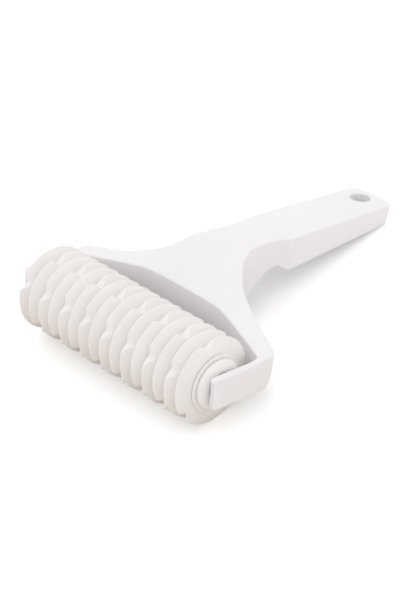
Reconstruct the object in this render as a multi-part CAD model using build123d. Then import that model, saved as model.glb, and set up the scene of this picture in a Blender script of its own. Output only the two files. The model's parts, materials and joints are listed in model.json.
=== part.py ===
from build123d import *
import math
import os

# Lattice roller cutter. Sixteen notched plastic discs turn on a hexagonal spindle
# between the two arms of a one-piece handle.
# Tool axes: X along the roller, +Y towards the handle's end, +Z up, zero on the roller's axis.
# At the end everything is tipped about the roller's axis until the roller and the
# handle's end both stand on the plane Z = 0.

# Roller
disc_count = 16
disc_pitch = 6.95
roller_radius = 20.0
edge_flat = 0.5
edge_root_radius = 13.7
disc_face_gap = 0.3
hub_radius = 13.3
end_face_width = 2.3
notches_per_disc = 3
notch_depth = 4.1
notch_mouth_angle = 23.0
even_notch_angle = -42.0
stagger_angle = 66.0

# Spindle and the collars at its ends
hex_across_flats = 8.0
hex_clearance = 0.06
journal_radius = 3.0
journal_length = 3.5
journal_chamfer = 0.3
collar_large_width = 1.4
collar_large_radius = 12.7
collar_large_edge = 0.6
collar_small_width = 2.1
collar_small_radius = 11.2
collar_small_edge = 1.3

# Bushes in the arms
bush_flange_radius = 5.6
bush_flange_thickness = 0.5
bush_wall = 1.3
running_clearance = 0.05
seat_clearance = 0.02
end_play = 0.25
blind_end_clearance = 0.3

# Arms of the frame
arm_thickness = 3.35
arm_boss_height = 1.5
arm_boss_radius = 6.0
arm_ahead_of_axis = 8.9
arm_top = 7.9
arm_bottom = 6.2
arm_end_radius = 1.6
arm_heel_radius = 5.0
arm_top_length = 13.1
arm_crown = 0.3

# Cross bar
bar_front = 29.5
bar_front_half_width = 25.5
bar_outer_front = 18.6
bar_depth_at_arm = 7.2
bar_sweep_angle = 23.2
bar_top_at_arm = 8.6
bar_crown_at_arm = 2.0
bar_top_at_front = 13.4
bar_crown = 3.0
bar_bottom = 6.2
bar_back_bottom = 41.1
inner_corner_radius = 3.0
outer_corner_radius = 4.5

# Neck
neck_half_width = 12.2
flare_radius = 28.0
crease_y = 49.8
crease_top = 28.4
crest_y = 59.1
crest_top = 29.7
finger_notch_y = 71.6
finger_notch_bottom = 15.0
neck_end_y = 76.6

# Handle
shoulder_y = 82.1
shoulder_half_width = 14.3
shoulder_top = 28.8
shoulder_bottom = 11.8
shoulder_radius = 1.5
handle_end_y = 153.4
end_half_width = 13.1
end_top = 27.1
end_bottom = 17.4
end_corner_radius = 6.0
handle_crown = 1.3
top_edge_radius = 1.0
end_foot_radius = 1.6

# Hanging hole
hole_radius = 4.9
hole_to_end = 9.8
hole_boss_wall = 1.8

# Moulding
wall = 2.2
rib_thickness = 1.5
rib_spacing = 15.0
overrun = 12.0

# Where things lie along X
stack_half = (disc_count - 1) * disc_pitch / 2 + end_face_width
collar_end = stack_half + collar_large_width + collar_small_width
bush_face = collar_end + end_play
boss_face = bush_face + bush_flange_thickness
arm_inner = boss_face + arm_boss_height
arm_outer = arm_inner + arm_thickness
hole_y = handle_end_y - hole_to_end

YZ_FROM_X = Plane(origin=(0, 0, 0), x_dir=(0, 1, 0), z_dir=(1, 0, 0))


def along_x(profile, low, high):
    """Extrude a profile drawn in (y, z) from X = low to X = high."""
    return Pos(low, 0, 0) * extrude(YZ_FROM_X * profile, high - low)


def ring_x(points):
    """Turn a profile drawn in (x, radius) about the roller's axis."""
    face = make_face(Polyline(*points, close=True))
    return revolve(face, Axis.X, 360)


def hex_rod(across_flats, low, high):
    profile = RegularPolygon(across_flats / 2, 6, major_radius=False)
    return along_x(profile, low, high)


def disc_middle(index):
    """Where the edge of a disc lies along X. Discs are counted from 1 at the low end."""
    return (index - (disc_count + 1) / 2) * disc_pitch


def disc_half(half_hub):
    """One half of a disc's section, from its cutting edge in to its hub's end face."""
    half_root = half_hub - disc_face_gap / 2
    return [
        (edge_flat / 2, roller_radius),
        (half_root, edge_root_radius),
        (half_root, hub_radius),
        (half_hub, hub_radius),
        (half_hub, 0),
    ]


def disc_blank(index):
    """A hub whose rim tapers on both sides to a blunt cutting edge, thinner outside the stack."""
    middle = disc_middle(index)
    left_half = end_face_width if index == 1 else disc_pitch / 2
    right_half = end_face_width if index == disc_count else disc_pitch / 2
    right = [(middle + x, r) for x, r in disc_half(right_half)]
    left = [(middle - x, r) for x, r in reversed(disc_half(left_half))]
    return ring_x(right + left)


def notch_cutter(angle):
    """A V notch whose mouth stands at this angle, from straight ahead and upwards."""
    reach = roller_radius + notch_depth
    half_mouth = math.radians(notch_mouth_angle / 2)
    spread = roller_radius * math.sin(half_mouth)
    vertex = roller_radius - notch_depth
    widened = spread * (reach - vertex) / (roller_radius * math.cos(half_mouth) - vertex)
    v_shape = make_face(Polyline((-vertex, 0), (-reach, widened), (-reach, -widened), close=True))
    cutter = along_x(v_shape, -disc_pitch, disc_pitch)
    return Rot(-angle, 0, 0) * cutter


def cutter_disc(index):
    """The blank with its notches and the hole for the spindle."""
    middle = disc_middle(index)
    first = even_notch_angle + (stagger_angle if index % 2 else 0)
    disc = disc_blank(index)
    for k in range(notches_per_disc):
        disc -= Pos(middle, 0, 0) * notch_cutter(first + k * 360 / notches_per_disc)
    disc -= hex_rod(hex_across_flats + 2 * hex_clearance, -stack_half - overrun, stack_half + overrun)
    return disc


def spindle():
    """Hexagonal rod with a round journal at each end."""
    rod = hex_rod(hex_across_flats, -collar_end, collar_end)
    for side in (-1, 1):
        journal = Cylinder(journal_radius, journal_length + journal_radius, rotation=(0, 90, 0))
        tip = collar_end + journal_length
        journal = chamfer(journal.edges().filter_by(GeomType.CIRCLE), journal_chamfer)
        rod += Pos(side * (tip - (journal_length + journal_radius) / 2), 0, 0) * journal
    return rod


def end_collar(side):
    """Two stepped rings that clamp the stack of discs, keyed to the hexagon."""
    step = stack_half + collar_large_width
    large = Pos((stack_half + step) / 2, 0, 0) * Cylinder(
        collar_large_radius, collar_large_width, rotation=(0, 90, 0))
    small = Pos((step + collar_end) / 2, 0, 0) * Cylinder(
        collar_small_radius, collar_small_width, rotation=(0, 90, 0))
    large = fillet(large.edges().filter_by(GeomType.CIRCLE).sort_by(Axis.X)[-1], collar_large_edge)
    small = fillet(small.edges().filter_by(GeomType.CIRCLE).sort_by(Axis.X)[-1], collar_small_edge)
    collar = large + small
    collar -= hex_rod(hex_across_flats + 2 * hex_clearance, stack_half - overrun, collar_end + overrun)
    return collar if side > 0 else mirror(collar, Plane.YZ)


def journal_bush(side):
    """Flanged plain bush, pressed into the arm's blind boss, that a journal turns in."""
    bore = journal_radius + running_clearance
    sleeve_end = collar_end + journal_length + blind_end_clearance
    bush = ring_x([
        (bush_face, bore),
        (bush_face, bush_flange_radius),
        (boss_face, bush_flange_radius),
        (boss_face, bore + bush_wall),
        (sleeve_end, bore + bush_wall),
        (sleeve_end, bore),
    ])
    return bush if side > 0 else mirror(bush, Plane.YZ)


def plan_outline():
    """The frame from above: arms, swept cross bar, flared neck, shoulder and handle."""
    sweep = math.tan(math.radians(bar_sweep_angle))
    bar_back = bar_outer_front + bar_depth_at_arm
    flare_y = bar_back + (arm_outer - neck_half_width) * sweep
    half = [
        (bar_front_half_width, bar_front),
        (arm_inner, bar_outer_front),
        (arm_inner, -arm_ahead_of_axis),
        (arm_outer, -arm_ahead_of_axis),
        (arm_outer, bar_back),
        (neck_half_width, flare_y),
        (neck_half_width, neck_end_y),
        (shoulder_half_width, shoulder_y),
        (end_half_width, handle_end_y),
    ]
    points = half + [(-x, y) for x, y in reversed(half)]
    face = make_face(Polyline(*points, close=True))

    def at(x, y):
        return [v for v in face.vertices() if abs(abs(v.X) - x) < seat_clearance and abs(v.Y - y) < seat_clearance]

    face = fillet(at(neck_half_width, flare_y), flare_radius)
    face = fillet(at(arm_inner, bar_outer_front), inner_corner_radius)
    face = fillet(at(arm_outer, bar_back), outer_corner_radius)
    face = fillet(at(arm_outer, -arm_ahead_of_axis), arm_end_radius)
    face = fillet(at(arm_inner, -arm_ahead_of_axis), arm_end_radius)
    face = fillet(at(neck_half_width, neck_end_y), shoulder_y - neck_end_y)
    face = fillet(at(shoulder_half_width, shoulder_y), shoulder_radius)
    face = fillet(at(end_half_width, handle_end_y), end_corner_radius)
    return face


def crowned_section(y, centre, side_drop):
    """A tall section across the tool at y, with an arched top edge."""
    low = -bar_bottom - overrun
    arch = ThreePointArc(
        (-arm_outer, centre - side_drop), (0, centre), (arm_outer, centre - side_drop))
    rest = Polyline(
        (arm_outer, centre - side_drop), (arm_outer, low), (-arm_outer, low),
        (-arm_outer, centre - side_drop))
    plane = Plane(origin=(0, y, 0), x_dir=(1, 0, 0), z_dir=(0, -1, 0))
    return plane * make_face(Curve() + [arch, rest])


def side_drop(drop, half_width):
    """The fall of an arch at the arms that falls by drop at half_width."""
    return drop * (arm_outer / half_width) ** 2


def top_form(lowered):
    """Everything below the frame's top surface, lowered by this much."""
    neck_drop = side_drop(handle_crown, end_half_width)
    stations = [
        (-arm_ahead_of_axis - overrun, arm_top + arm_crown, arm_crown),
        (arm_top_length, arm_top + arm_crown, arm_crown),
        (bar_outer_front, bar_top_at_arm + bar_crown_at_arm, bar_crown_at_arm),
        (bar_front, bar_top_at_front, bar_crown),
        (crease_y, crease_top, neck_drop),
        (crest_y, crest_top, neck_drop),
        (shoulder_y, shoulder_top, neck_drop),
        (handle_end_y, end_top, neck_drop),
        (handle_end_y + overrun, end_top, neck_drop),
    ]
    sections = [crowned_section(y, z - lowered, drop) for y, z, drop in stations]
    return loft(sections, ruled=True)


def side_profile():
    """The frame from the side, open above: only its underside and ends matter."""
    high = crest_top + overrun
    points = [
        (-arm_ahead_of_axis, high),
        (-arm_ahead_of_axis, -arm_bottom),
        (bar_back_bottom, -bar_bottom),
        (finger_notch_y, finger_notch_bottom),
        (neck_end_y, finger_notch_bottom),
        (shoulder_y, shoulder_bottom),
        (handle_end_y, end_bottom),
        (handle_end_y, high),
    ]
    face = make_face(Polyline(*points, close=True))

    def at(y, z):
        return [v for v in face.vertices() if abs(v.X - y) < seat_clearance and abs(v.Y - z) < seat_clearance]

    face = fillet(at(-arm_ahead_of_axis, -arm_bottom), arm_end_radius)
    face = fillet(at(handle_end_y, end_bottom), end_foot_radius)
    face = fillet(at(finger_notch_y, finger_notch_bottom), arm_heel_radius)
    face = fillet(at(neck_end_y, finger_notch_bottom) + at(shoulder_y, shoulder_bottom), shoulder_radius)
    return face


def pockets(outline):
    """The hollows of the underside, open below, with ribs left standing between them."""
    tall = crest_top + overrun
    deep = bar_bottom + overrun
    length = handle_end_y + arm_ahead_of_axis
    inside = outline & Pos(0, bar_outer_front + length / 2) * Rectangle(2 * arm_inner, length)
    inside = offset(inside, amount=-wall, kind=Kind.INTERSECTION)
    hollow = Pos(0, 0, -deep) * extrude(inside, tall + deep)
    hollow &= top_form(wall)
    height = 2 * (tall + deep)
    hollow -= Box(rib_thickness, 2 * (handle_end_y + overrun), height)
    for k in range(1, int(arm_inner / rib_spacing) + 1):
        for side in (-1, 1):
            hollow -= Pos(side * k * rib_spacing, 0, 0) * Box(rib_thickness, 2 * crease_y, height)
    for k in range(int((hole_y - crease_y) / rib_spacing) + 1):
        y = crease_y + k * rib_spacing
        hollow -= Pos(0, y, 0) * Box(2 * arm_inner, rib_thickness, height)
    hollow -= Pos(0, hole_y, 0) * Cylinder(hole_radius + hole_boss_wall, height)
    return hollow


def top_rim(body):
    """The edges where the top surface meets the upright walls."""
    top = [f for f in body.faces() if f.normal_at(f.center()).Z > 0.5]
    walls = [f for f in body.faces() if abs(f.normal_at(f.center()).Z) < 0.05]
    wall_edges = [edge for face in walls for edge in face.edges()]
    return [edge for face in top for edge in face.edges()
            if any(edge.is_same(other) for other in wall_edges)]


def handle_frame():
    """The one-piece moulding: arms, cross bar, neck and hollow-backed handle."""
    outline = plan_outline()
    tall = crest_top + overrun
    deep = bar_bottom + overrun
    outer = Pos(0, 0, -deep) * extrude(outline, tall + deep)
    outer &= along_x(side_profile(), -arm_outer - overrun, arm_outer + overrun)
    outer &= top_form(0)
    outer = fillet(top_rim(outer), top_edge_radius)
    frame = outer - pockets(outline)
    for side in (-1, 1):
        boss = Cylinder(arm_boss_radius, arm_boss_height, rotation=(0, 90, 0))
        frame += Pos(side * (boss_face + arm_boss_height / 2), 0, 0) * boss
        depth = collar_end + journal_length + blind_end_clearance - boss_face
        socket = Cylinder(journal_radius + running_clearance + bush_wall + seat_clearance, depth,
                          rotation=(0, 90, 0))
        frame -= Pos(side * (boss_face + depth / 2), 0, 0) * socket
    frame -= Pos(0, hole_y, 0) * Cylinder(hole_radius, 2 * (tall + deep))
    return frame


def resting_place():
    """Tip about the roller's axis until the handle's end foot stands level with the roller."""
    underside = math.atan2(end_bottom - shoulder_bottom, handle_end_y - shoulder_y)
    foot_y = handle_end_y - end_foot_radius
    foot_z = end_bottom + end_foot_radius * (1 - math.sin(underside)) / math.cos(underside)
    reach = math.hypot(foot_y, foot_z)
    tilt = math.degrees(math.atan2(foot_z, foot_y) + math.asin((roller_radius - end_foot_radius) / reach))
    return tilt


def main():
    os.makedirs("parts", exist_ok=True)
    tilt = resting_place()
    print("tilt", tilt)
    shapes = {"handle_frame": handle_frame(), "spindle": spindle()}
    for name, side in (("left", -1), ("right", 1)):
        shapes["end_collar_" + name] = end_collar(side)
        shapes["journal_bush_" + name] = journal_bush(side)
    for index in range(1, disc_count + 1):
        shapes["cutter_disc_%02d" % index] = cutter_disc(index)
    tipped = {name: Rot(-tilt, 0, 0) * shape for name, shape in shapes.items()}
    boxes = [shape.bounding_box() for shape in tipped.values()]
    front = min(box.min.Y for box in boxes)
    back = max(box.max.Y for box in boxes)
    print("front", front, "back", back, "low", min(box.min.Z for box in boxes))
    for name, shape in tipped.items():
        placed = Pos(0, -(front + back) / 2, roller_radius) * shape
        export_step(placed, "parts/" + name + ".step")


main()
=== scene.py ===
import json
import math

import bpy
from mathutils import Matrix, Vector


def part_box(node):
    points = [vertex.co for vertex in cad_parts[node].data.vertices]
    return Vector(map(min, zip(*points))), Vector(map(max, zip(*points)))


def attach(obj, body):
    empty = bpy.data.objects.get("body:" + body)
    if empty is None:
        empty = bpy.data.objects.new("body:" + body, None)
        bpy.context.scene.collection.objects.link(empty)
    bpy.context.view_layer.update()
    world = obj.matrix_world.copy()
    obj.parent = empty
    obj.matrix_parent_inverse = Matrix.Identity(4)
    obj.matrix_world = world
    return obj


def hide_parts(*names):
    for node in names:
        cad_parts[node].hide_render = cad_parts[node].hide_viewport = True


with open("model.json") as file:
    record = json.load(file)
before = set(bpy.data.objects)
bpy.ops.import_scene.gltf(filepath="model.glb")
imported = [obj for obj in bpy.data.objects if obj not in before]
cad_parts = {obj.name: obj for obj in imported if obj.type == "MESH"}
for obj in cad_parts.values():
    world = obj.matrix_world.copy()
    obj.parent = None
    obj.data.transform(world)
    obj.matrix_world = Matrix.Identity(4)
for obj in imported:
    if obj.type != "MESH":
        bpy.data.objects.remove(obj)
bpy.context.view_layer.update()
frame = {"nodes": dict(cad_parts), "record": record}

# The handle frame: one injection moulding in cool white polypropylene. Arms, cross bar,
# raised neck and paddle handle are a single piece, hollow and ribbed underneath, with a
# satin skin and fuller upper edges where the hand goes round it.
mm = 0.001


def satin_plastic(
        name, cloud_scale, cloud_detail, deep_tint, pale_tint, smoothest, roughest,
        grain_scale, grain_detail, grain_strength):
    """A moulded plastic with faint clouds of tint and sheen, and a finely grained skin."""
    plastic = bpy.data.materials.new(name)
    plastic.use_nodes = True
    nodes = plastic.node_tree.nodes
    links = plastic.node_tree.links
    skin = nodes["Principled BSDF"]
    skin.inputs["IOR"].default_value = 1.46
    where = nodes.new("ShaderNodeTexCoord")
    cloud = nodes.new("ShaderNodeTexNoise")
    cloud.inputs["Scale"].default_value = cloud_scale
    cloud.inputs["Detail"].default_value = cloud_detail
    tint = nodes.new("ShaderNodeValToRGB")
    tint.color_ramp.elements[0].position = 0.3
    tint.color_ramp.elements[0].color = deep_tint
    tint.color_ramp.elements[1].position = 0.75
    tint.color_ramp.elements[1].color = pale_tint
    links.new(where.outputs["Object"], cloud.inputs["Vector"])
    links.new(cloud.outputs["Fac"], tint.inputs["Fac"])
    links.new(tint.outputs["Color"], skin.inputs["Base Color"])
    sheen = nodes.new("ShaderNodeMapRange")
    sheen.inputs["To Min"].default_value = smoothest
    sheen.inputs["To Max"].default_value = roughest
    links.new(cloud.outputs["Fac"], sheen.inputs["Value"])
    links.new(sheen.outputs["Result"], skin.inputs["Roughness"])
    grain = nodes.new("ShaderNodeTexNoise")
    grain.inputs["Scale"].default_value = grain_scale
    grain.inputs["Detail"].default_value = grain_detail
    texture = nodes.new("ShaderNodeBump")
    texture.inputs["Strength"].default_value = grain_strength
    texture.inputs["Distance"].default_value = 0.1 * mm
    links.new(where.outputs["Object"], grain.inputs["Vector"])
    links.new(grain.outputs["Fac"], texture.inputs["Height"])
    links.new(texture.outputs["Normal"], skin.inputs["Normal"])
    return plastic


frame_white = satin_plastic(
    "satin_white_moulding",
    cloud_scale=38.0, cloud_detail=3.0,
    deep_tint=(0.924, 0.905, 0.920, 1.0), pale_tint=(0.948, 0.932, 0.946, 1.0),
    smoothest=0.36, roughest=0.50,
    grain_scale=900.0, grain_detail=4.0, grain_strength=0.05)
axis_y, axis_z = frame["record"]["behaviour"]["joints"][0]["pos_m"][1:]
hole_axis = frame["record"]["mounts"][0]["axis"]
tilt = math.atan2(hole_axis[1], hole_axis[2])
welding_distance = 0.002 * mm


def pick(piece):
    """Selects one piece alone, as the one that the next tool works on."""
    bpy.ops.object.select_all(action="DESELECT")
    piece.select_set(True)
    bpy.context.view_layer.objects.active = piece


def settle(piece, turned=(0, 0, 0), moved=(0, 0, 0)):
    """Turns a piece about the origin, then moves it, and writes both into its mesh."""
    pick(piece)
    piece.rotation_euler = turned
    piece.location = moved
    bpy.ops.object.transform_apply(location=True, rotation=True, scale=True)


def struck_copy(mould, name):
    """One more piece of the same form, with a mesh of its own."""
    piece = mould.copy()
    piece.data = mould.data.copy()
    piece.name = name
    bpy.context.scene.collection.objects.link(piece)
    return piece


def weld(piece):
    """Merges a piece's doubled points."""
    pick(piece)
    bpy.ops.object.mode_set(mode="EDIT")
    bpy.ops.mesh.select_all(action="SELECT")
    bpy.ops.mesh.remove_doubles(threshold=welding_distance)
    bpy.ops.object.mode_set(mode="OBJECT")


# the frame is worked on level, with the roller's axis at the origin
moulding = struck_copy(frame["nodes"]["handle_frame"], "paddle_frame")
moulding.rotation_mode = "XYZ"
pick(moulding)
bpy.ops.mesh.customdata_custom_splitnormals_clear()
settle(moulding, moved=(0, -axis_y, -axis_z))
settle(moulding, turned=(tilt, 0, 0))
weld(moulding)

# the hanging hole's upper rim is rounded, so that a hook doesn't chafe it
hole_y, hole_radius, hole_rounding = 143.6 * mm, 4.9 * mm, 0.7 * mm
upper_rim_above = 25.0 * mm
near_enough = 0.05 * mm
bpy.ops.object.mode_set(mode="EDIT")
bpy.ops.mesh.select_all(action="DESELECT")
bpy.ops.mesh.select_mode(type="EDGE")
bpy.ops.object.mode_set(mode="OBJECT")
for edge in moulding.data.edges:
    ends = [moulding.data.vertices[corner].co for corner in edge.vertices]
    on_rim = [abs(math.hypot(end.x, end.y - hole_y) - hole_radius) < near_enough for end in ends]
    edge.select = all(on_rim) and all(end.z > upper_rim_above for end in ends)
bpy.ops.object.mode_set(mode="EDIT")
bpy.ops.mesh.bevel(offset=hole_rounding, segments=4, affect="EDGES")
bpy.ops.mesh.select_mode(type="VERT")
bpy.ops.object.mode_set(mode="OBJECT")

shoulder_y, handle_end_y = 82.1 * mm, 153.4 * mm
shoulder_half, end_half = 14.3 * mm, 13.1 * mm
shoulder_top, end_top = 28.8 * mm, 27.1 * mm
shoulder_bottom, end_bottom = 11.8 * mm, 17.4 * mm
handle_crown = 1.3 * mm
end_corner = 6.0 * mm
corner_start_y = handle_end_y - end_corner


def share_between(value, low, high):
    """How far a value lies from low to high, kept between 0 and 1."""
    return min(max((value - low) / (high - low), 0.0), 1.0)


def eased(value, low, high):
    """The same share, but level at both ends."""
    share = share_between(value, low, high)
    return share * share * (3.0 - 2.0 * share)


def handle_section(point):
    """The handle's top, underside and half width at the place of a point."""
    along = (point.y - shoulder_y) / (handle_end_y - shoulder_y)
    crown = handle_crown * (point.x / end_half) ** 2
    top = shoulder_top + (end_top - shoulder_top) * along - crown
    bottom = shoulder_bottom + (end_bottom - shoulder_bottom) * along
    half = shoulder_half + (end_half - shoulder_half) * along
    return top, bottom, half


def handle_outline(point):
    """How far in from the handle's outline a point lies, and the way out, seen from above."""
    side = math.copysign(1.0, point.x)
    past_x = abs(point.x) - (end_half - end_corner)
    past_y = point.y - corner_start_y
    if past_x > 0 and past_y > 0:
        reach = math.hypot(past_x, past_y)
        return end_corner - reach, side * past_x / reach, past_y / reach
    if past_y > 0:
        return handle_end_y - point.y, 0.0, 1.0
    return handle_section(point)[2] - abs(point.x), side, 0.0


# the small rounding of the upper edges grows fuller behind the shoulder, along the handle
drawn_edge, full_edge = 1.0 * mm, 2.2 * mm
rounded_skin = 1.05 * drawn_edge
full_from, full_by = 81.0 * mm, 90.0 * mm
for vertex in moulding.data.vertices:
    point = vertex.co
    growth = (full_edge / drawn_edge - 1) * eased(point.y, full_from, full_by)
    if growth > 0:
        depth = handle_section(point)[0] - point.z
        inset, out_x, out_y = handle_outline(point)
        if inset < rounded_skin and depth < rounded_skin:
            point.x -= out_x * growth * max(inset, 0.0)
            point.y -= out_y * growth * max(inset, 0.0)
            point.z -= growth * max(depth, 0.0)

# more rows of points are cut in, level and upright, where the moulding is to bend
row_heights = (3.0 * mm, 0.0, -2.0 * mm, -3.6 * mm, -4.8 * mm, -5.6 * mm)
front_kink, kink_reach = 25.5 * mm, 9.0 * mm
bpy.ops.object.mode_set(mode="EDIT")
for row_height in row_heights:
    bpy.ops.mesh.select_all(action="SELECT")
    bpy.ops.mesh.bisect(plane_co=(0, 0, row_height), plane_no=(0, 0, 1))
for side in (-1, 1):
    for step in range(-3, 4):
        row_x = side * (front_kink + step * kink_reach / 3)
        bpy.ops.mesh.select_all(action="SELECT")
        bpy.ops.mesh.bisect(plane_co=(row_x, 0, 0), plane_no=(1, 0, 0))
bpy.ops.object.mode_set(mode="OBJECT")

# the handle's end leans back towards its top with its foot kept on the table, and its
# corners are full there
end_lean = 1.6 * mm
corner_swell, swell_inset = 0.8 * mm, 4.0 * mm
for vertex in moulding.data.vertices:
    point = vertex.co
    if point.y > corner_start_y:
        top, bottom, half = handle_section(point)
        fall = share_between(point.z, top, bottom)
        inset, out_x, out_y = handle_outline(point)
        cornered = 4 * (out_x * out_y) ** 2
        swell = corner_swell * cornered * (1 - fall) * (1 - eased(inset, 0.0, swell_inset))
        point.x += out_x * swell
        point.y += out_y * swell
        lean = end_lean * fall * eased(point.y, corner_start_y, handle_end_y)
        point.y -= lean
        point.z -= lean * math.tan(tilt)

# the bar's front edge bends smoothly between its straight middle and its swept ends
bar_front, bar_slope = 29.5 * mm, 10.9 / 34.675
front_margin, front_full, front_faded = 0.2 * mm, 3.0 * mm, 7.0 * mm
for vertex in moulding.data.vertices:
    point = vertex.co
    off_kink = abs(abs(point.x) - front_kink)
    behind_front = point.y - bar_front + bar_slope * max(abs(point.x) - front_kink, 0.0)
    if off_kink < kink_reach and behind_front > -front_margin:
        bend = bar_slope * (kink_reach - off_kink) ** 2 / (4 * kink_reach)
        point.y -= bend * (1 - eased(behind_front, front_full, front_faded))

# below, the bar's outer rear corners are rounded up and forward
arm_outer, bar_back, bar_bottom = 63.525 * mm, 25.8 * mm, -6.2 * mm
back_slope = math.tan(math.radians(23.2))
rear_pull, rear_top, rear_roundness = 2.8 * mm, 7.0 * mm, 2.4
rear_from, rear_by = 36.0 * mm, 52.0 * mm
rear_full, rear_faded = 3.0 * mm, 9.0 * mm
for vertex in moulding.data.vertices:
    point = vertex.co
    outward = eased(abs(point.x), rear_from, rear_by)
    before_back = bar_back + (arm_outer - abs(point.x)) * back_slope - point.y
    rearward = 1 - eased(before_back, rear_full, rear_faded)
    fall = share_between(point.z, rear_top, bar_bottom)
    point.y -= rear_pull * outward * rearward * fall ** rear_roundness

arm_tip, blade_height = -8.9 * mm, 20.0 * mm
groove_width, groove_depth, groove_top = 0.5 * mm, 0.6 * mm, 6.1 * mm


def cut_away(piece, cutter):
    """Cuts a tool's shape out of a piece, and puts the tool away."""
    pick(piece)
    cut = piece.modifiers.new("cut", "BOOLEAN")
    cut.object = cutter
    cut.operation = "DIFFERENCE"
    cut.solver = "EXACT"
    bpy.ops.object.modifier_apply(modifier=cut.name)
    bpy.data.objects.remove(cutter)


# two fine upright grooves are cut in the rounded tip of each arm
for side in (-1, 1):
    for from_outer in (1.1 * mm, 2.25 * mm):
        bpy.ops.object.select_all(action="DESELECT")
        bpy.ops.mesh.primitive_cube_add(size=1)
        blade = bpy.context.object
        blade.scale = (groove_width, 2 * groove_depth, blade_height)
        groove_x = side * (arm_outer - from_outer)
        settle(blade, moved=(groove_x, arm_tip, groove_top - blade_height / 2))
        cut_away(moulding, blade)

crease = math.radians(32)
bpy.ops.object.shade_smooth_by_angle(angle=crease)
evened = moulding.modifiers.new("even_shading", "WEIGHTED_NORMAL")
evened.keep_sharp = True
bpy.ops.object.modifier_apply(modifier=evened.name)
settle(moulding, turned=(-tilt, 0, 0), moved=(0, axis_y, axis_z))
moulding.data.materials.clear()
moulding.data.materials.append(frame_white)
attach(moulding, "frame")
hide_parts("handle_frame")

# The bushes: natural, unpigmented low friction plastic, turned and pressed into the
# blind bosses of the arms. Only their thin flanges show beside the collars.
bush_plastic = bpy.data.materials.new("natural_bush_plastic")
bush_plastic.use_nodes = True
nodes = bush_plastic.node_tree.nodes
links = bush_plastic.node_tree.links
skin = nodes["Principled BSDF"]
skin.inputs["Roughness"].default_value = 0.55
where = nodes.new("ShaderNodeTexCoord")
turning = nodes.new("ShaderNodeTexNoise")
turning.inputs["Scale"].default_value = 300.0
tint = nodes.new("ShaderNodeValToRGB")
tint.color_ramp.elements[0].color = (0.74, 0.72, 0.66, 1.0)
tint.color_ramp.elements[1].color = (0.80, 0.78, 0.72, 1.0)
links.new(where.outputs["Object"], turning.inputs["Vector"])
links.new(turning.outputs["Fac"], tint.inputs["Fac"])
links.new(tint.outputs["Color"], skin.inputs["Base Color"])
for name in ("journal_bush_left", "journal_bush_right"):
    for slot in frame["nodes"][name].material_slots:
        slot.material = bush_plastic

# The spindle: a plain hexagonal rod of the same white plastic with a round journal on
# each end. The stack of discs hides all of it but the ends.
for slot in frame["nodes"]["spindle"].material_slots:
    slot.material = frame_white

# The cutter discs: sixteen ivory mouldings from one mould. Each is a hub whose rim tapers
# from both sides to a blunt edge with three V notches, and each is keyed to the spindle by
# its hexagonal hole, turned 66 degrees from its neighbour. The outermost two are thinner.
disc_count = 16
disc_pitch = 6.95 * mm
disc_sides = 180
edge_profile = (
    (0.00, 20.00), (0.10, 20.00), (0.22, 19.92), (0.34, 19.74),
    (3.30, 13.75), (3.33, 13.30), (3.475, 13.30))
roller_radius = edge_profile[0][1] * mm
end_face_share = 0.662
hex_across_flats = 8.12 * mm
notches_per_disc = 3
notch_vertex = 15.9 * mm
notch_reach = 23.0 * mm
notch_mouth = math.radians(23.0)
even_notch_angle = math.radians(-42.0)
stagger = math.radians(66.0)


def draw_out(profile):
    """Draws the selected ring out along X, from one reach and radius in mm to the next."""
    reach, radius = profile[0]
    for new_reach, new_radius in profile[1:]:
        step = (new_reach - reach) * mm
        share = new_radius / radius
        bpy.ops.mesh.extrude_region_move(TRANSFORM_OT_translate={"value": (step, 0, 0)})
        bpy.ops.transform.resize(value=(1, share, share), center_override=(0, 0, 0))
        reach, radius = new_reach, new_radius


def hexagon_broach(middle):
    """A long hexagonal tool along X, which cuts the hole for the spindle."""
    bpy.ops.object.select_all(action="DESELECT")
    bpy.ops.mesh.primitive_cylinder_add(
        vertices=6, radius=hex_across_flats / math.sqrt(3), depth=4 * disc_pitch,
        rotation=(0, math.pi / 2, 0), location=(middle, 0, 0))
    return bpy.context.object


bpy.ops.object.select_all(action="DESELECT")
bpy.ops.mesh.primitive_circle_add(vertices=disc_sides, radius=roller_radius)
disc = bpy.context.object
settle(disc, turned=(0, math.pi / 2, 0))
bpy.ops.object.mode_set(mode="EDIT")
bpy.ops.mesh.select_all(action="SELECT")
draw_out(edge_profile)
bpy.ops.mesh.edge_face_add()
bpy.ops.object.mode_set(mode="OBJECT")

# the half that has been drawn gets its mirror image on the other side of the crest
pick(disc)
mirrored = disc.modifiers.new("other_side", "MIRROR")
mirrored.use_axis = (True, False, False)
mirrored.merge_threshold = 0.01 * mm
bpy.ops.object.modifier_apply(modifier=mirrored.name)

# each notch is cut by a wedge, whose edge lies along the notch's root
wedge_height = notch_reach - notch_vertex
mouth_half = roller_radius * math.sin(notch_mouth / 2)
mouth_depth = roller_radius * math.cos(notch_mouth / 2) - notch_vertex
wedge_half = mouth_half * wedge_height / mouth_depth
# a triangle of radius 1 points along +Y, is 1.5 high and has its middle 1 below its tip
tip_to_middle = wedge_height / 1.5
for notch in range(notches_per_disc):
    bpy.ops.object.select_all(action="DESELECT")
    bpy.ops.mesh.primitive_cylinder_add(vertices=3, radius=1, depth=4 * disc_pitch)
    wedge = bpy.context.object
    wedge.scale = (wedge_half / math.sin(math.radians(60)), tip_to_middle, 1)
    settle(wedge, moved=(0, -notch_vertex - tip_to_middle, 0))
    settle(wedge, turned=(0, math.pi / 2, 0))
    settle(wedge, turned=(notch * math.radians(360 / notches_per_disc), 0, 0))
    cut_away(disc, wedge)
cut_away(disc, hexagon_broach(0))

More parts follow.
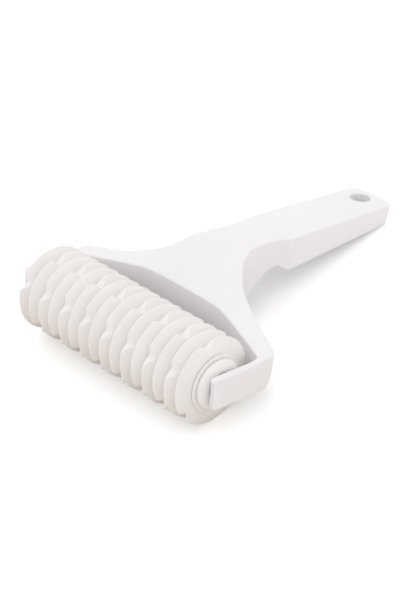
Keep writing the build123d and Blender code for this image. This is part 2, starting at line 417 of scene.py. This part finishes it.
rounding = disc.modifiers.new("rounding", "BEVEL")
rounding.width = 0.35 * mm
rounding.segments = 3
rounding.angle_limit = math.radians(28)
bpy.ops.object.modifier_apply(modifier=rounding.name)
weld(disc)
bpy.ops.object.shade_smooth_by_angle(angle=crease)

ivory = satin_plastic(
    "warm_ivory_moulding",
    cloud_scale=60.0, cloud_detail=4.0,
    deep_tint=(0.945, 0.915, 0.898, 1.0), pale_tint=(0.965, 0.940, 0.926, 1.0),
    smoothest=0.42, roughest=0.58,
    grain_scale=1200.0, grain_detail=3.0, grain_strength=0.06)
disc.data.materials.append(ivory)

for index in range(1, disc_count + 1):
    name = "cutter_disc_%02d" % index
    piece = struck_copy(disc, "notched_disc_%02d" % index)
    outer_side = 1 if index == disc_count else -1 if index == 1 else 0
    for vertex in piece.data.vertices:
        if vertex.co.x * outer_side > 0:
            vertex.co.x *= end_face_share
    middle = (index - (disc_count + 1) / 2) * disc_pitch
    angle = even_notch_angle + (stagger if index % 2 else 0) + tilt
    settle(piece, turned=(-angle, 0, 0), moved=(middle, axis_y, axis_z))
    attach(piece, "roller")
    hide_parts(name)
bpy.data.objects.remove(disc)

# The end collars: two more ivory mouldings, pushed on the hexagon outside the stack. Each
# has a thin bead with a deep groove on both its sides, a fuller rounded nose outside them,
# and a shallow recess round the spindle.
collar_sides = 120
collar_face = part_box("end_collar_right")[0][0]
collar_profile = (
    (0.00, 11.00), (0.44, 11.00), (0.46, 12.65), (0.54, 13.10), (0.68, 13.33),
    (0.82, 13.33), (0.94, 13.12), (1.00, 12.80), (1.02, 11.60), (1.04, 10.30),
    (1.48, 10.25), (1.50, 11.10), (1.64, 11.48), (1.90, 11.64), (2.25, 11.58),
    (2.65, 11.32), (3.05, 10.92), (3.42, 10.38), (3.72, 9.72), (3.94, 9.00),
    (4.06, 8.20), (4.10, 7.50), (4.06, 6.90), (3.90, 6.50), (3.60, 6.30),
    (3.50, 6.00), (3.50, 5.50))
bpy.ops.object.select_all(action="DESELECT")
bpy.ops.mesh.primitive_circle_add(vertices=collar_sides, radius=collar_profile[0][1] * mm)
collar = bpy.context.object
settle(collar, turned=(0, math.pi / 2, 0), moved=(collar_face, 0, 0))
bpy.ops.object.mode_set(mode="EDIT")
bpy.ops.mesh.select_all(action="SELECT")
bpy.ops.mesh.edge_face_add()
draw_out(collar_profile)
bpy.ops.mesh.select_all(action="SELECT")
bpy.ops.mesh.normals_make_consistent(inside=False)
bpy.ops.object.mode_set(mode="OBJECT")
cut_away(collar, hexagon_broach(collar_face))
bpy.ops.object.shade_smooth_by_angle(angle=math.radians(50))
collar.data.materials.append(ivory)

for name, half_turn in (("end_collar_right", 0.0), ("end_collar_left", math.pi)):
    piece = struck_copy(collar, "beaded_" + name)
    settle(piece, turned=(-tilt, 0, 0))
    settle(piece, turned=(0, 0, half_turn), moved=(0, axis_y, axis_z))
    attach(piece, "roller")
    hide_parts(name)
bpy.data.objects.remove(collar)

# The table and the studio: a pale matt surface, a bright even surround and one broad
# soft lamp overhead, as in a catalogue photograph.
bpy.ops.object.select_all(action="DESELECT")
bpy.ops.mesh.primitive_circle_add(vertices=96, radius=2.0, fill_type="NGON", location=(0, 0, 0))
table = bpy.context.object
table.name = "table"
table_white = bpy.data.materials.new("table_white")
table_white.use_nodes = True
nodes = table_white.node_tree.nodes
links = table_white.node_tree.links

# painted shade: the colour that the table throws back onto other surfaces is painted darker and
# warmer in a patch round the roller, standing in for the shade under it
matt = nodes["Principled BSDF"]
matt.inputs["Roughness"].default_value = 0.9
where = nodes.new("ShaderNodeTexCoord")
from_roller = nodes.new("ShaderNodeVectorMath")
from_roller.operation = "SUBTRACT"
from_roller.inputs[1].default_value = (0.0, axis_y, 0.0)
flattened = nodes.new("ShaderNodeVectorMath")
flattened.operation = "MULTIPLY"
flattened.inputs[1].default_value = (0.5, 1.0, 0.0)
distance = nodes.new("ShaderNodeVectorMath")
distance.operation = "LENGTH"
shade = nodes.new("ShaderNodeMapRange")
shade.interpolation_type = "SMOOTHSTEP"
shade.inputs["From Min"].default_value = 20.0 * mm
shade.inputs["From Max"].default_value = 90.0 * mm
# the painted shade's colours: dark and warm next to the roller, pale farther out
painted_shade_tint = nodes.new("ShaderNodeValToRGB")
painted_shade_tint.color_ramp.elements[0].color = (0.60, 0.535, 0.44, 1.0)
painted_shade_tint.color_ramp.elements[1].color = (0.84, 0.795, 0.765, 1.0)
links.new(where.outputs["Object"], from_roller.inputs[0])
links.new(from_roller.outputs["Vector"], flattened.inputs[0])
links.new(flattened.outputs["Vector"], distance.inputs[0])
links.new(distance.outputs["Value"], shade.inputs["Value"])
links.new(shade.outputs["Result"], painted_shade_tint.inputs["Fac"])
links.new(painted_shade_tint.outputs["Color"], matt.inputs["Base Color"])

# the camera and reflections see it as white paper, which keeps the object's shadow
paper = nodes.new("ShaderNodeBsdfDiffuse")
paper.inputs["Color"].default_value = (0.98, 0.98, 0.98, 1.0)
glow = nodes.new("ShaderNodeEmission")
glow.inputs["Strength"].default_value = 0.26
lit = nodes.new("ShaderNodeAddShader")
links.new(paper.outputs["BSDF"], lit.inputs[0])
links.new(glow.outputs["Emission"], lit.inputs[1])
seen = nodes.new("ShaderNodeLightPath")
seen_or_glossy = nodes.new("ShaderNodeMath")
seen_or_glossy.operation = "MAXIMUM"
seen_at_all = nodes.new("ShaderNodeMath")
seen_at_all.operation = "MAXIMUM"
shown = nodes.new("ShaderNodeMixShader")
links.new(seen.outputs["Is Camera Ray"], seen_or_glossy.inputs[0])
links.new(seen.outputs["Is Glossy Ray"], seen_or_glossy.inputs[1])
links.new(seen_or_glossy.outputs["Value"], seen_at_all.inputs[0])
links.new(seen.outputs["Is Transmission Ray"], seen_at_all.inputs[1])
links.new(seen_at_all.outputs["Value"], shown.inputs["Fac"])
links.new(matt.outputs["BSDF"], shown.inputs[1])
links.new(lit.outputs["Shader"], shown.inputs[2])
links.new(shown.outputs["Shader"], nodes["Material Output"].inputs["Surface"])
table.data.materials.append(table_white)

surround = bpy.data.worlds.new("bright_surround")
bpy.context.scene.world = surround
surround.use_nodes = True
daylight = surround.node_tree.nodes["Background"]
daylight.inputs["Color"].default_value = (1.0, 1.0, 1.0, 1.0)
daylight.inputs["Strength"].default_value = 0.94

lamp_data = bpy.data.lights.new("overhead_lamp", "AREA")
lamp_data.shape = "DISK"
lamp_data.size = 0.9
lamp_data.energy = 0.5
lamp = bpy.data.objects.new("overhead_lamp", lamp_data)
lamp.location = (-0.35, -0.2, 1.0)
lamp.rotation_euler = lamp.location.to_track_quat("Z", "Y").to_euler()
bpy.context.scene.collection.objects.link(lamp)

# The camera stands in front of the roller's right end, looks down along the handle and
# is rolled a little, as the photographer held it.
camera_place = (0.485496, -0.403992, 0.468752)
azimuth, elevation, roll = 52.130985, 36.583007, -8.291287
camera_data = bpy.data.cameras.new("photo_camera")
camera_data.lens = 102.3645
camera_data.sensor_width = 36.0
camera = bpy.data.objects.new("photo_camera", camera_data)
bpy.context.scene.collection.objects.link(camera)
turn = (Matrix.Rotation(math.radians(azimuth), 4, "Z")
        @ Matrix.Rotation(math.radians(90 - elevation), 4, "X")
        @ Matrix.Rotation(math.radians(roll), 4, "Z"))
camera.matrix_world = Matrix.Translation(camera_place) @ turn
bpy.context.scene.camera = camera
bpy.context.scene.view_settings.view_transform = "Standard"
